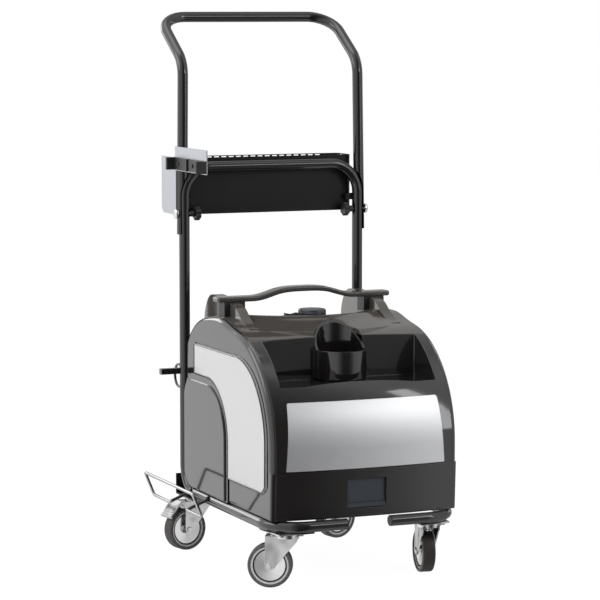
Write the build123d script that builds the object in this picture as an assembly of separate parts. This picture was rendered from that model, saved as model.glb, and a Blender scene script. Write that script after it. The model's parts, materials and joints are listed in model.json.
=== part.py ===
from build123d import *
import math
import os

os.makedirs("parts", exist_ok=True)

# ---- driving dimensions, mm; X across, -Y is the front, Z up, floor at z = 0 ----
# trolley frame
tube_d = 20.0
rail_x = 178.3
rail_z = 114.0
front_y = -227.0
post_y = 227.0
stub_gap = 88.0
top_bar_z = 726.5
front_bend, rear_bend, top_bend = 65.0, 50.0, 55.0
plug_spigot_d, plug_spigot_len, plug_cap_t = 15.0, 12.0, 3.0
plate_t = 3.0
plate_margin, rear_lip = 5.0, 26.0
# push handle and fold joint
leg_low_x, leg_top_x = 182.7, 179.0
leg_tail, leg_bend_z = 39.0, 923.6
leg_lean_y = 2.5
grip_y, grip_z = 359.5, 1007.6
leg_bend, grip_bend = 50.0, 52.0
pivot_z = 639.0
bolt_d, bolt_head_d, bolt_head_h = 8.0, 18.0, 6.0
knob_d, knob_w, knob_neck_d, knob_neck_len, knob_lobes = 27.0, 10.0, 12.0, 10.0, 6
# accessory bin
bin_w, bin_depth, bin_h, bin_floor_z = 344.0, 65.0, 107.0, 636.0
bin_wall, bin_corner = 2.0, 10.0
window_w, window_h, window_pitch, window_count = 10.5, 6.8, 15.05, 18
window_drop = 5.0
bin_lug_w, bin_lug_reach, bin_lug_h, bin_end_clear = 12.0, 4.0, 12.0, 1.0
# rear bar, ring and wire cradle
bar_y, bar_z_size, bar_z = 13.0, 11.0, 338.5
bar_left, bar_right = 222.0, 188.0
ring_od, ring_rod, ring_x, ring_y, ring_z = 48.0, 5.0, 178.0, 261.5, 327.0
wire_d = 6.0
wire_low_x, wire_low_z, wire_high_x, wire_high_z = 230.0, 100.0, 248.0, 144.0
wire_front_y, wire_rear_y, arm_front_y, arm_rear_y = 2.0, 260.0, 82.5, 175.5
# steel bracket and tool clip on the left leg
bracket_t, bracket_clear = 2.0, 1.6
arm_tip_y, arm_low_z, arm_high_z = 66.0, 721.0, 766.0
tab_y0, tab_y1, tab_z0, tab_z1, tab_corner = 229.0, 307.0, 637.0, 745.0, 15.0
clip_z0, clip_z1, clip_reach, clip_wall = 723.0, 746.0, 20.0, 5.0
clip_mid_back, clip_mid_w = 73.0, 6.0
# casters
wheel_d, wheel_w, hub_w = 80.0, 24.0, 26.0
caster_front_x, caster_rear_x, caster_front_y, caster_rear_y, trail = 139.0, 156.0, -184.0, 218.0, 30.0
mount_size, mount_t, mount_corner, bolt_offset = 60.0, 3.0, 6.0, 19.0
fork_head_d, fork_t, fork_top_gap = 44.0, 2.5, 0.3
fork_crown, crown_t, crown_front, fork_tip_r = 6.0, 4.0, 20.0, 8.0
axle_d, axle_head_d, axle_head_h, kingpin_d, kingpin_foot = 8.0, 10.0, 2.0, 10.0, 14.5
caster_screw_d, caster_screw_head, screw_head_h = 6.0, 10.0, 4.0
tyre_t, rim_t, groove_w, hub_d, disc_set = 5.7, 3.6, 2.9, 18.0, 4.0
pedal_w, pedal_t, pedal_run, pedal_drop, pedal_reach = 36.0, 2.5, 25.0, 27.0, 15.0
pedal_pin_d, pedal_knuckle_d, ear_r = 4.0, 8.0, 5.5
# machine body
body_half_w, body_front, body_bottom = 181.0, -225.0, 124.0
body_arc_r, body_arc_y, body_arc_z = 200.0, -25.0, 246.0
bow_r = 1350.0
shell_t, edge_r = 3.0, 11.0
seam_x, skirt_top, shell_split_y, rear_split_y = 172.0, 210.0, -92.0, 205.0
skirt_corner, seam_w, seam_depth, pan_inset = 4.0, 1.4, 1.2, 12.0
foot_taper = 4.0
# tray, cup, panel, socket
tray_half_w, tray_front, tray_rear, tray_floor = 152.0, -187.0, -94.0, 357.0
cup_y, cup_d, cup_wall, cup_rim_z, cup_peak_z = -103.0, 96.0, 4.0, 411.0, 459.0
panel_top, panel_foot, panel_top_w, panel_foot_w, panel_t = 332.0, 212.5, 292.0, 308.0, 1.5
panel_corner, panel_foot_corner = 4.0, 1.5
socket_w, socket_z0, socket_z1, socket_depth = 75.0, 140.0, 193.0, 25.0
flap_t, flap_set = 3.0, 8.0
hose_bore_d, hose_boss_d = 22.0, 32.0
# deck, fins, handle
well_floor, well_half_w, well_rear = 440.0, 131.0, 200.0
crest_z, lip_z, lip_r, crest_r, well_r, crest_center_y = 464.0, 438.0, 241.0, 166.0, 152.0, 151.0
fin_x, fin_t, fin_top_y, fin_top_z = 140.6, 19.0, 140.0, 492.0
handle_y, handle_d, handle_t = 78.5, 32.0, 9.5
handle_end_x, handle_flat_x, handle_low_z, handle_high_z = 174.0, 104.0, 490.0, 505.0
foot_len, foot_x0, foot_x1 = 30.0, 120.0, 161.0
cap_y, cap_d, cap_top, cap_skirt, collar_d = 30.0, 51.0, 471.0, 14.0, 48.0
neck_d = 40.0
switch_x, switch_y, switch_w, switch_d, switch_rise = -42.0, 30.0, 24.0, 12.0, 25.0
switch_travel, switch_pin_d = 7.0, 3.0
# gland, tank and boiler inside
gland_x, gland_z, gland_d, gland_len, cord_d = -100.0, 165.0, 16.0, 10.0, 9.0
tank_x0, tank_x1, tank_y0, tank_y1, tank_top = -150.0, 30.0, -50.0, 150.0, 425.0
boiler_x, boiler_y, boiler_d, boiler_h = 95.0, 20.0, 104.0, 230.0
# clearances
run = 0.05       # turning fits, radial
seat = 0.1       # pieces fixed one inside another, radial
gap = 0.3        # pieces that pass each other

tube_r = tube_d / 2
body_rear = post_y - tube_r - gap
foot_bend = rear_bend - tube_r
rail_top = rail_z + tube_r
mount_top = rail_z - tube_r - plate_t
screw_r = caster_screw_d / 2
leg_low_z = pivot_z - leg_tail
switch_top = well_floor + switch_rise
made = {}


def keep(name, shape):
    made[name] = shape


def box(x0, x1, y0, y1, z0, z1):
    return Pos((x0 + x1) / 2, (y0 + y1) / 2, (z0 + z1) / 2) * Box(x1 - x0, y1 - y0, z1 - z0)


def rod(point, direction, radius, length):
    """Round bar from a point along a direction."""
    return Plane(origin=point, z_dir=direction) * extrude(Circle(radius), length)


def yz_solid(points, x0, x1, spline=False):
    """Flat outline in Y and Z, given a width across X."""
    line = Spline(*points) if spline else Polyline(*points)
    wires = line + Line(points[-1], points[0])
    return extrude(Plane.YZ.offset(x0) * make_face(wires), x1 - x0)


def swept(points, bends, radius):
    path = FilletPolyline(*points, radius=bends)
    return sweep(Plane(origin=path @ 0, z_dir=path % 0) * Circle(radius), path=path)


# ---- frame: one bent tube, plugs, gussets and rear plate ----
def frame():
    s = stub_gap / 2
    pts = [(-s, front_y, rail_z), (-rail_x, front_y, rail_z), (-rail_x, post_y, rail_z),
           (-rail_x, post_y, top_bar_z), (rail_x, post_y, top_bar_z),
           (rail_x, post_y, rail_z), (rail_x, front_y, rail_z), (s, front_y, rail_z)]
    tube = swept(pts, [front_bend, rear_bend, top_bend, top_bend, rear_bend, front_bend], tube_r)
    plugs = []
    for side in (-1, 1):
        tube -= rod((side * s, front_y, rail_z), (side, 0, 0), plug_spigot_d / 2 + seat, plug_spigot_len + 2)
        spigot = rod((side * s, front_y, rail_z), (side, 0, 0), plug_spigot_d / 2, plug_spigot_len)
        cap = rod((side * s, front_y, rail_z), (-side, 0, 0), tube_r, plug_cap_t)
        cap = chamfer(cap.faces().sort_by(Axis.X)[0 if side > 0 else -1].edges(), 1.2)
        plugs.append(spigot + cap)
        tube -= rod((side * (rail_x - tube_r - 1), post_y, pivot_z), (side, 0, 0),
                    bolt_d / 2 + seat, tube_d + 2)
    keep("lower_frame", tube)
    keep("tube_plugs", Compound(plugs))
    return tube


def screw_spots(x, y):
    return [(x + i * bolt_offset, y + j * bolt_offset) for i in (-1, 1) for j in (-1, 1)]


def drilled(plate, x, y, z0, z1):
    for hx, hy in screw_spots(x, y):
        plate -= Pos(hx, hy, (z0 + z1) / 2) * Cylinder(screw_r + run, z1 - z0 + 2)
    return plate


def plates():
    gussets = []
    reach = mount_size / 2 + plate_margin
    top = mount_top + plate_t
    for side in (-1, 1):
        g = box(caster_front_x - reach, rail_x, front_y, caster_front_y + reach, mount_top, top)
        g = fillet(g.edges().filter_by(Axis.Z).sort_by(lambda e: e.center().X - e.center().Y)[-1], front_bend)
        g = g if side > 0 else mirror(g, Plane.YZ)
        gussets.append(drilled(g, side * caster_front_x, caster_front_y, mount_top, top))
    keep("front_gussets", Compound(gussets))
    half = rail_x + tube_r
    y0, y1 = caster_rear_y - reach - 18, caster_rear_y + reach
    rear = box(-half, half, y0, y1, mount_top, top)
    rear += box(-half, half, y1 - plate_t, y1, mount_top, rail_z + rear_lip)
    for side in (-1, 1):
        rear = drilled(rear, side * caster_rear_x, caster_rear_y, mount_top, top)
    keep("rear_plate", rear)


def rear_bar():
    back = post_y + tube_r
    bar = box(-bar_left, bar_right, back, back + bar_y, bar_z - bar_z_size / 2, bar_z + bar_z_size / 2)
    bar = chamfer(bar.edges().filter_by(Axis.X), 1.0)
    keep("rear_crossbar", bar)
    ring = Plane(origin=(-ring_x, ring_y, ring_z), z_dir=(1, 0, 0)) * Torus(
        (ring_od - ring_rod) / 2, ring_rod / 2)
    keep("cable_ring", (ring - bar).solids().sort_by(SortBy.VOLUME)[-1])


def cradle(tube):
    pts = [(-rail_x - 2, arm_rear_y, rail_z + 5.5), (-wire_low_x, arm_rear_y, wire_low_z),
           (-wire_low_x, wire_rear_y, wire_low_z), (-wire_high_x, wire_rear_y, wire_high_z),
           (-wire_high_x, wire_front_y, wire_high_z), (-wire_low_x, wire_front_y, wire_low_z),
           (-wire_low_x, arm_front_y, wire_low_z), (-rail_x - 2, arm_front_y, rail_z + 5.5)]
    wire = swept(pts, [6.0] * 6, wire_d / 2) - tube
    keep("wire_cradle", wire.solids().sort_by(SortBy.VOLUME)[-1])


def accessory_bin(tube):
    y0 = post_y + knob_d / 2 + 1
    y1 = y0 + bin_depth
    rim = bin_floor_z + bin_h
    outer = box(-bin_w / 2, bin_w / 2, y0, y1, bin_floor_z, rim)
    outer = fillet(outer.edges().filter_by(Axis.Z), bin_corner)
    inner = box(-bin_w / 2 + bin_wall, bin_w / 2 - bin_wall, y0 + bin_wall, y1 - bin_wall,
                bin_floor_z + bin_wall, rim + 1)
    inner = fillet(inner.edges().filter_by(Axis.Z), bin_corner - bin_wall)
    tray = outer - inner
    lug_z = pivot_z + knob_d / 2 + 4
    for side in (-1, 1):
        x0, x1 = sorted((side * bin_w / 2, side * (bin_w / 2 - bin_lug_w - bin_lug_reach)))
        lug = box(x0, x1, post_y + 3, y0 + 1, lug_z, lug_z + bin_lug_h) - tube
        tray += lug
    z = rim - window_drop
    cuts = [Pos((i - (window_count - 1) / 2) * window_pitch, y1, z) * Box(window_w, 8, window_h)
            for i in range(window_count)]
    for side in (-1, 1):
        cuts += [Pos(side * bin_w / 2, y1 - bin_corner - window_pitch * (i + 0.5), z)
                 * Box(8, window_w, window_h) for i in range(2)]
    keep("accessory_bin", tray - cuts)


# ---- push handle, pivot bolts and star knobs ----
def leg_x_at(z):
    return leg_low_x - (z - leg_low_z) * (leg_low_x - leg_top_x) / (leg_bend_z - leg_low_z)


def handle():
    lean = post_y + leg_lean_y
    pts = [(-leg_low_x, post_y, leg_low_z), (-leg_top_x, lean, leg_bend_z), (-leg_top_x, grip_y, grip_z),
           (leg_top_x, grip_y, grip_z), (leg_top_x, lean, leg_bend_z), (leg_low_x, post_y, leg_low_z)]
    bar = swept(pts, [leg_bend, grip_bend, grip_bend, leg_bend], tube_r)
    corner_z = top_bar_z - top_bend
    corner_x = rail_x - top_bend
    reach = top_bend + tube_r + gap
    for side in (-1, 1):
        flat = side * (rail_x + tube_r + gap)
        bar -= box(min(0, flat), max(0, flat), post_y - 20, post_y + 20, leg_low_z - 20, corner_z)
        bar -= rod((side * corner_x, post_y - 20, corner_z), (0, 1, 0), reach, 40)
        bar -= rod((side * (rail_x - tube_r), post_y, pivot_z), (side, 0, 0), bolt_d / 2 + run, 40)
    keep("push_handle", bar)
    face = leg_x_at(pivot_z - bolt_head_d / 2) + tube_r + 0.05
    knob_face = rail_x - tube_r - gap
    bolts = []
    for side, name in ((-1, "left"), (1, "right")):
        far = knob_face - knob_neck_len - knob_w + 4
        shank = rod((side * far, post_y, pivot_z), (side, 0, 0), bolt_d / 2, face + 1 - far)
        head = rod((side * face, post_y, pivot_z), (side, 0, 0), bolt_head_d / 2, bolt_head_h)
        rim = head.faces().sort_by(Axis.X)[-1 if side > 0 else 0].edges()
        bolts.append(shank + fillet(rim, bolt_head_h * 0.6))
        keep("clamp_knob_" + name, knob(side, knob_face))
    keep("pivot_bolts", Compound(bolts))


def knob(side, face):
    """Lobed star knob on the inner side of the post."""
    lobe_r = knob_d / 5
    at = Plane(origin=(side * (face - knob_neck_len), post_y, pivot_z), z_dir=(-side, 0, 0))
    star = Circle(knob_d / 2 - lobe_r + 1)
    for i in range(knob_lobes):
        a = 2 * math.pi * i / knob_lobes
        far = knob_d / 2 - lobe_r
        star += Pos(far * math.cos(a), far * math.sin(a)) * Circle(lobe_r)
    body = extrude(at * star, knob_w)
    ends = body.faces().filter_by(Axis.X)
    body = chamfer(ends.edges(), 0.8)
    body += rod((side * face, post_y, pivot_z), (-side, 0, 0), knob_neck_d / 2, knob_neck_len + 1)
    return body - rod((side * (face + 1), post_y, pivot_z), (-side, 0, 0), bolt_d / 2 + run,
                      knob_neck_len + knob_w - 2)


def side_bracket():
    past_leg = leg_x_at(arm_high_z) + tube_r + bracket_clear
    past_bin = bin_w / 2 + bin_end_clear
    x1 = -max(past_leg, past_bin)
    x0 = x1 - bracket_t
    arm = box(x0, x1, arm_tip_y, post_y + 6, arm_low_z, arm_high_z)
    tab = box(x0, x1, tab_y0, tab_y1, tab_z0, tab_z1)
    tab = fillet(tab.edges().filter_by(Axis.X).sort_by(Axis.Z)[:2], tab_corner)
    link = box(x0, x1, post_y - 2, tab_y0 + 12, arm_low_z, tab_z1)
    plate = arm + tab + link
    plate -= rod((x1 + 1, post_y, pivot_z), (-1, 0, 0), bolt_head_d / 2 + 0.6, 6)
    pad = box(x1, -leg_x_at(arm_high_z) - 2, post_y - 7, post_y + 7, arm_low_z + 8, arm_high_z - 8)
    plate += pad - made["push_handle"]
    keep("steel_bracket", plate)
    base = box(x0 - clip_wall, x0, arm_tip_y, post_y + 4, clip_z0, clip_z1)
    front_jaw = box(x0 - clip_reach, x0, arm_tip_y, arm_tip_y + clip_wall, clip_z0, clip_z1)
    rear_jaw = box(x0 - clip_reach, x0, post_y - 4, post_y + 4, clip_z0, clip_z1)
    mid_y = post_y - clip_mid_back
    mid = box(x0 - clip_wall - 3, x0, mid_y - clip_mid_w / 2, mid_y + clip_mid_w / 2, clip_z0, clip_z1)
    clip = base + front_jaw + rear_jaw + mid
    outer = [e for e in clip.edges().filter_by(Axis.Z) if e.center().X < x0 - clip_reach + 0.1]
    clip = fillet(outer, 1.5)
    screws = []
    for y in (arm_tip_y + 24, arm_tip_y + 62, post_y - 24):
        spot = (x0 - clip_wall, y, (clip_z0 + clip_z1) / 2)
        clip -= rod(spot, (1, 0, 0), 2 + seat, clip_wall + 1)
        head = rod(spot, (-1, 0, 0), 4.2, 2.2)
        head = fillet(head.faces().sort_by(Axis.X)[0].edges(), 1.4)
        screws.append(head + rod(spot, (1, 0, 0), 2, clip_wall))
    keep("tool_clip", clip)
    keep("clip_screws", Compound(screws))


# ---- casters, each built about its swivel axis and turned to its rest direction ----
def fork_heights():
    """Heights of the top plate's underside, the fork's top and the crown's underside."""
    top = mount_top - mount_t
    head_top = top - fork_top_gap
    return top, head_top, head_top - fork_crown


def pedal_hinge():
    return trail + pedal_reach, fork_heights()[2] - crown_t


def caster_pieces(braked):
    axle_z = wheel_d / 2
    top, head_top, crown_z = fork_heights()
    leg_in = hub_w / 2 + gap
    leg_out = leg_in + fork_t
    back = trail + fork_tip_r
    crown_mid, crown_len = (back - crown_front) / 2, back + crown_front
    head = Pos(0, 0, head_top - fork_crown / 2 - 1) * Cylinder(fork_head_d / 2, fork_crown + 2)
    head = fillet(head.faces().sort_by(Axis.Z)[-1].edges(), fork_crown / 3)
    leg = make_hull([*(Pos(trail, axle_z) * Circle(fork_tip_r)).edges(),
                     *(Pos(crown_mid, crown_z - 3) * Rectangle(crown_len, 6)).edges()])
    if braked:
        hinge_y, hinge_z = pedal_hinge()
        leg += make_hull([*(Pos(hinge_y, hinge_z) * Circle(ear_r)).edges(),
                          *(Pos(crown_mid, crown_z - 4) * Rectangle(crown_len / 2, 8)).edges()])
    fork = head
    for side in (-1, 1):
        fork += extrude(Plane.YZ.offset(side * leg_in) * leg, side * fork_t)
    fork += box(-leg_out, leg_out, -crown_front, back, crown_z - crown_t / 2, crown_z + crown_t / 2)
    fork -= Cylinder(kingpin_d / 2 + run, 400)
    fork -= rod((-leg_out - 1, trail, axle_z), (1, 0, 0), axle_d / 2 + run, 2 * leg_out + 2)
    plate = box(-mount_size / 2, mount_size / 2, -mount_size / 2, mount_size / 2, top, mount_top)
    plate = fillet(plate.edges().filter_by(Axis.Z), mount_corner)
    foot = top - kingpin_foot
    plate += Pos(0, 0, foot) * extrude(Circle(kingpin_d / 2), kingpin_foot + mount_t)
    plate += Pos(0, 0, foot - 2) * extrude(Circle(kingpin_d / 2 + 2), 2)
    axle = rod((-leg_out, trail, axle_z), (1, 0, 0), axle_d / 2, 2 * leg_out)
    for side in (-1, 1):
        rivet = rod((side * leg_out, trail, axle_z), (side, 0, 0), axle_head_d / 2, axle_head_h)
        rim = rivet.faces().sort_by(Axis.X)[-1 if side > 0 else 0].edges()
        axle += fillet(rim, axle_head_h * 0.6)
    return fork, plate, axle


def wheel():
    """Hub with a turned cover disc, and the tyre around it, on the X axis."""
    w, h = wheel_w / 2, hub_w / 2
    bore = axle_d / 2 + run
    out = wheel_d / 2 - tyre_t
    rim_in = out - rim_t
    disc = rim_in - groove_w
    deep = w - disc_set - groove_w
    half = [(bore, 0), (bore, h), (hub_d / 2, h), (hub_d / 2, w - disc_set), (disc, w - disc_set), (disc, deep),
            (rim_in, deep), (rim_in, w - 2), (out, w - 2), (out, 0)]
    outline = half + [(r, -x) for r, x in half[-2:0:-1]]
    hub = revolve(make_face(Polyline(*outline, close=True)), axis=Axis.Y)
    inner = out + seat
    tread = Pos((inner + wheel_d / 2) / 2, 0) * Rectangle(wheel_d / 2 - inner, wheel_w)
    corners = tread.vertices().sort_by(Axis.X)[-2:]
    tyre = revolve(fillet(corners, tyre_t / 2), axis=Axis.Y)
    place = Pos(0, trail, wheel_d / 2) * Rot(0, 0, 90)
    return place * hub, place * tyre


def pedal():
    """Ribbed foot pedal on a pin between the fork ears, sloping steeply down behind the wheel."""
    y, z = pedal_hinge()
    half = hub_w / 2
    long = math.hypot(pedal_run, pedal_drop)
    fall_y, fall_z = pedal_run / long, -pedal_drop / long
    rise = pedal_knuckle_d / 2 + 2 + pedal_t

    def at(along, over):
        """Point of the pedal's slope: along it from the hinge, and over the hinge line."""
        return (y + fall_y * along - fall_z * over, z + fall_z * along + fall_y * over)

    start = -pedal_knuckle_d / 2
    plate = yz_solid([at(start, rise - pedal_t), at(start, rise), at(start + long, rise),
                      at(start + long, rise - pedal_t)], -pedal_w / 2, pedal_w / 2)
    lip = yz_solid([at(start + long - 2, rise - pedal_t), at(start + long, rise), at(start + long + 2, rise - 5),
                    at(start + long, rise - 6)], -pedal_w / 2, pedal_w / 2)
    plate += lip
    for i in range(4):
        a = start + long - 4 - i * 5
        plate += yz_solid([at(a - 1, rise - 1), at(a - 0.7, rise + 1), at(a + 0.7, rise + 1), at(a + 1, rise - 1)],
                          -pedal_w / 2 + 3, pedal_w / 2 - 3)
    neck = yz_solid([at(-3, 0), at(-3, rise - 1), at(4, rise - 1), at(2, 0)], -half + 1, half - 1)
    knuckle = rod((-half, y, z), (1, 0, 0), pedal_knuckle_d / 2, 2 * half)
    pin = rod((-half - fork_t - gap, y, z), (1, 0, 0), pedal_pin_d / 2, 2 * (half + fork_t + gap))
    return plate + neck + knuckle + pin


def casters():
    spots = {"front_left": (-caster_front_x, caster_front_y, -0.88, 0.475),
             "front_right": (caster_front_x, caster_front_y, 0.175, 0.985),
             "rear_left": (-caster_rear_x, caster_rear_y, -0.979, -0.205),
             "rear_right": (caster_rear_x, caster_rear_y, -0.979, -0.205)}
    hub, tyre = wheel()
    foot = pedal()
    hinge_y, hinge_z = pedal_hinge()
    screws = []
    head_z = mount_top - mount_t
    for name, (x, y, dx, dy) in spots.items():
        braked = name.startswith("rear")
        fork, plate, axle = caster_pieces(braked)
        if braked:
            fork -= rod((-hub_w, hinge_y, hinge_z), (1, 0, 0), pedal_pin_d / 2 + run, 2 * hub_w)
        turn = Pos(x, y, 0) * Rot(0, 0, math.degrees(math.atan2(-dx, dy)))
        keep("caster_fork_" + name, turn * fork)
        keep("caster_axle_" + name, turn * axle)
        keep("wheel_hub_" + name, turn * hub)
        keep("wheel_tyre_" + name, turn * tyre)
        if braked:
            keep("brake_pedal_" + name, turn * foot)
        keep("caster_plate_" + name, drilled(Pos(x, y, 0) * plate, x, y, head_z, mount_top))
        for hx, hy in screw_spots(x, y):
            shank = rod((hx, hy, head_z), (0, 0, 1), screw_r, mount_t + plate_t)
            head = extrude(Plane.XY.offset(head_z) * Pos(hx, hy) * RegularPolygon(caster_screw_head / 2, 6),
                           -screw_head_h)
            screws.append(shank + head)
    keep("caster_bolts", Compound(screws))


# ---- machine housing ----
def side_limit(inset, x):
    """Block whose lower rear corner is rounded to follow the bend of the tube."""
    block = box(-x, x, -400, body_rear - inset, body_bottom + max(inset, 0), 600)
    edge = block.edges().filter_by(Axis.X).sort_by(lambda e: e.center().Z - e.center().Y)[0]
    return fillet(edge, foot_bend - inset)


def body_solid(inset):
    """Housing outline, drawn smaller all round by the inset: bowed front, quarter-round brow, eased rear."""
    front, arc = body_front + inset, body_arc_r - inset
    low = body_bottom + max(inset, 0)
    a = math.asin(35 / body_arc_r)
    brow_end = (body_arc_y - arc * math.sin(a), body_arc_z + arc * math.cos(a))
    mid = math.radians(45)
    brow_mid = (body_arc_y - arc * math.cos(mid), body_arc_z + arc * math.sin(mid))
    tops = [(-20, 450.5), (18, 459), (60, 459.5), (105, 454), (145, 443), (185, 415), (212, 372), (224, 310)]
    top = Spline(brow_end, *[(y, z - inset) for y, z in tops], tangents=[(math.cos(a), math.sin(a)), (0.05, -1)])
    end = (224, 310 - inset)
    outline = (Line((front + foot_taper, low), (front, skirt_top)) + Line((front, skirt_top), (front, body_arc_z))
               + ThreePointArc((front, body_arc_z), brow_mid, brow_end) + top
               + Polyline(end, (224, low), (front + foot_taper, low)))
    face = Plane.YZ * make_face(outline)
    axis_y = body_front + bow_r
    turned = revolve(face, axis=Axis((0, axis_y, 0), (0, 0, 1)), revolution_arc=30)
    turned = Pos(0, axis_y, 0) * Rot(0, 0, -15) * Pos(0, -axis_y, 0) * turned
    half = body_half_w - inset
    solid = turned & side_limit(inset, half)

    def corners(body, z0, z1):
        return [e for e in body.edges() if abs(abs(e.center().X) - half) < 0.2 and z0 < e.center().Z < z1]

    upper = fillet(corners(solid, low + 20, 600), edge_r - inset) & box(-half, half, -400, 400, skirt_top, 600)
    skirt = solid & box(-half, half, -400, 400, 0, skirt_top)
    return upper + fillet(corners(skirt, low + 20, skirt_top - 1), skirt_corner)


def part_of(shape, x0, x1, y0, y1, z0, z1):
    return shape & box(x0, x1, y0, y1, z0, z1)


def panel_stamp():
    """Tapered upright block with rounded corners that stamps the panel out of a skin."""
    face = make_face(Polyline((-panel_foot_w / 2, panel_foot), (panel_foot_w / 2, panel_foot),
                              (panel_top_w / 2, panel_top), (-panel_top_w / 2, panel_top), close=True))
    face = fillet(face.vertices().sort_by(Axis.Y)[:2], panel_foot_corner)
    face = fillet(face.vertices().sort_by(Axis.Y)[-2:], panel_corner)
    return extrude(Plane.XZ.offset(-shell_split_y) * face, 300)


def insert_face(grow=0.0):
    """Side insert outline in Y and Z, clear of the arch cover at its lower rear."""
    g = grow
    r = 146 + g
    outline = (Line((163 + g, 170 - g), (163 + g, 400 + g)) + Line((163 + g, 400 + g), (-45, 400 + g))
               + Line((-45, 400 + g), (-45, 255 + r))
               + RadiusArc((-45, 255 + r), (-45 - r, 255), -r)
               + Polyline((-45 - r, 255), (-190 - g, 182), (-176, 170 - g), (163 + g, 170 - g)))
    return make_face(outline)


def arch_face(grow=0.0):
    g = grow
    y0, top, y1 = 5 - g, 331 + g, body_rear - 4 + min(g, 4)
    r0, r1 = 95 + g, 36 + g
    z0 = body_bottom
    return make_face(Line((y0, z0), (y0, top - r0)) + RadiusArc((y0, top - r0), (y0 + r0, top), r0)
                     + Line((y0 + r0, top), (y1 - r1, top))
                     + RadiusArc((y1 - r1, top), (y1, top - r1), r1)
                     + Polyline((y1, top - r1), (y1, z0), (y0, z0)))


def side_pieces(shell):
    rim = 11.0
    seat_x = body_half_w - 1.8
    for side, name in ((-1, "left"), (1, "right")):
        x0, x1 = (seam_x, 300) if side > 0 else (-300, -seam_x)
        wall = part_of(shell, x0, x1, -400, 400, 0, 600)

        def pad(face, a, b):
            return extrude(Plane.YZ.offset(side * a) * face, side * (b - a))

        groove = 2.5
        ring = pad(arch_face(rim + groove), seat_x - 2, 200)
        insert = pad(insert_face(), seat_x, body_half_w + 3) - ring
        insert = insert.solids().sort_by(SortBy.VOLUME)[-1]
        outer = insert.faces().sort_by(Axis.X)[-1 if side > 0 else 0]
        insert = chamfer(outer.edges(), 1.0)
        wall -= pad(insert_face(groove), seat_x, 200) - pad(arch_face(rim + 0.01), seat_x - 2, 200)
        wall -= pad(arch_face(rim), seat_x, 200)
        keep("side_shell_" + name, wall.solids().sort_by(SortBy.VOLUME)[-1])
        keep("side_insert_" + name, insert)
        limit = side_limit(0, 300)
        cover = pad(arch_face(rim), seat_x, body_half_w + 2) & limit
        raised = pad(arch_face(0), body_half_w + 2, body_half_w + 5) & side_limit(2, 300)
        rim_edges = raised.faces().sort_by(Axis.X)[-1 if side > 0 else 0].edges()
        rim_edges = [e for e in rim_edges if e.center().Z > body_bottom + 1]
        keep("arch_cover_" + name, cover + chamfer(rim_edges, 1.2))


def cup_pocket():
    return Pos(0, cup_y, tray_floor) * extrude(Circle(cup_d / 2 + gap), 200)


def front_pieces(outer, shell):
    front = part_of(shell, -seam_x, seam_x, -400, shell_split_y, skirt_top, 600)
    w = tray_half_w
    t = shell_t
    tub = box(-w - t, w + t, tray_front - t, shell_split_y, tray_floor - t, 600) & outer
    hollow = box(-w, w, tray_front, tray_rear, tray_floor, 600)
    hollow = fillet(hollow.edges().filter_by(Axis.Z), 4)
    seam = (outer - body_solid(seam_depth)) & box(-200, 200, -400, shell_split_y, skirt_top - 1, skirt_top + seam_w)
    keep("front_shell", (front + tub) - hollow - cup_pocket() - seam)
    skin = body_solid(-panel_t) - body_solid(-gap)
    keep("silver_panel", skin & panel_stamp())
    skirt = part_of(shell, -seam_x, seam_x, -400, shell_split_y, 0, skirt_top)
    skirt -= box(-seam_x, seam_x, body_front + pan_inset, 0, body_bottom - 1, body_bottom + t)
    half = socket_w / 2
    back = body_front + socket_depth
    housing = box(-half - t, half + t, -300, back + t, socket_z0 - t, socket_z1 + t) & outer
    recess = box(-half, half, -300, back, socket_z0, socket_z1)
    hose_z = (socket_z0 + socket_z1) / 2 + 1
    pivot = (body_front + flap_set + flap_t / 2, socket_z1 - 2.5)
    skirt = skirt + housing - recess
    skirt -= rod((0, back - 1, hose_z), (0, 1, 0), hose_boss_d / 2 + seat, 10)
    skirt -= rod((-half - 2, pivot[0], pivot[1]), (1, 0, 0), 1.5 + run, socket_w + 4)
    keep("lower_skirt", skirt)
    socket = rod((0, back - 3, hose_z), (0, 1, 0), hose_boss_d / 2, 30)
    socket -= rod((0, back - 4, hose_z), (0, 1, 0), hose_bore_d / 2, 26)
    keep("steam_socket", socket)
    y0 = body_front + flap_set
    flap = box(-half + gap, half - gap, y0, y0 + flap_t, socket_z0 + 1, pivot[1])
    flap += box(-half + gap, half - gap, y0 - 3, y0, socket_z0 + 1, socket_z0 + 9)
    flap += rod((-half + gap, pivot[0], pivot[1]), (1, 0, 0), flap_t / 2, socket_w - 2 * gap)
    flap += rod((-half - 1.5, pivot[0], pivot[1]), (1, 0, 0), 1.5, socket_w + 3)
    keep("socket_flap", flap)


def cup():
    """Round cup whose back half is cut by a plane that rises from the rim to the peak."""
    r = cup_d / 2
    body = Pos(0, cup_y, tray_floor) * extrude(Circle(r), cup_peak_z - tray_floor)
    body = fillet(body.faces().sort_by(Axis.Z)[0].edges(), cup_wall)
    body -= yz_solid([(cup_y - r - 2, cup_rim_z), (cup_y, cup_rim_z), (cup_y + r, cup_peak_z),
                      (cup_y + r, cup_peak_z + 50), (cup_y - r - 2, cup_peak_z + 50)], -r - 2, r + 2)
    body -= Pos(0, cup_y, tray_floor + 3) * extrude(Circle(r - cup_wall), 200)
    keep("cup_holder", body)


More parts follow.
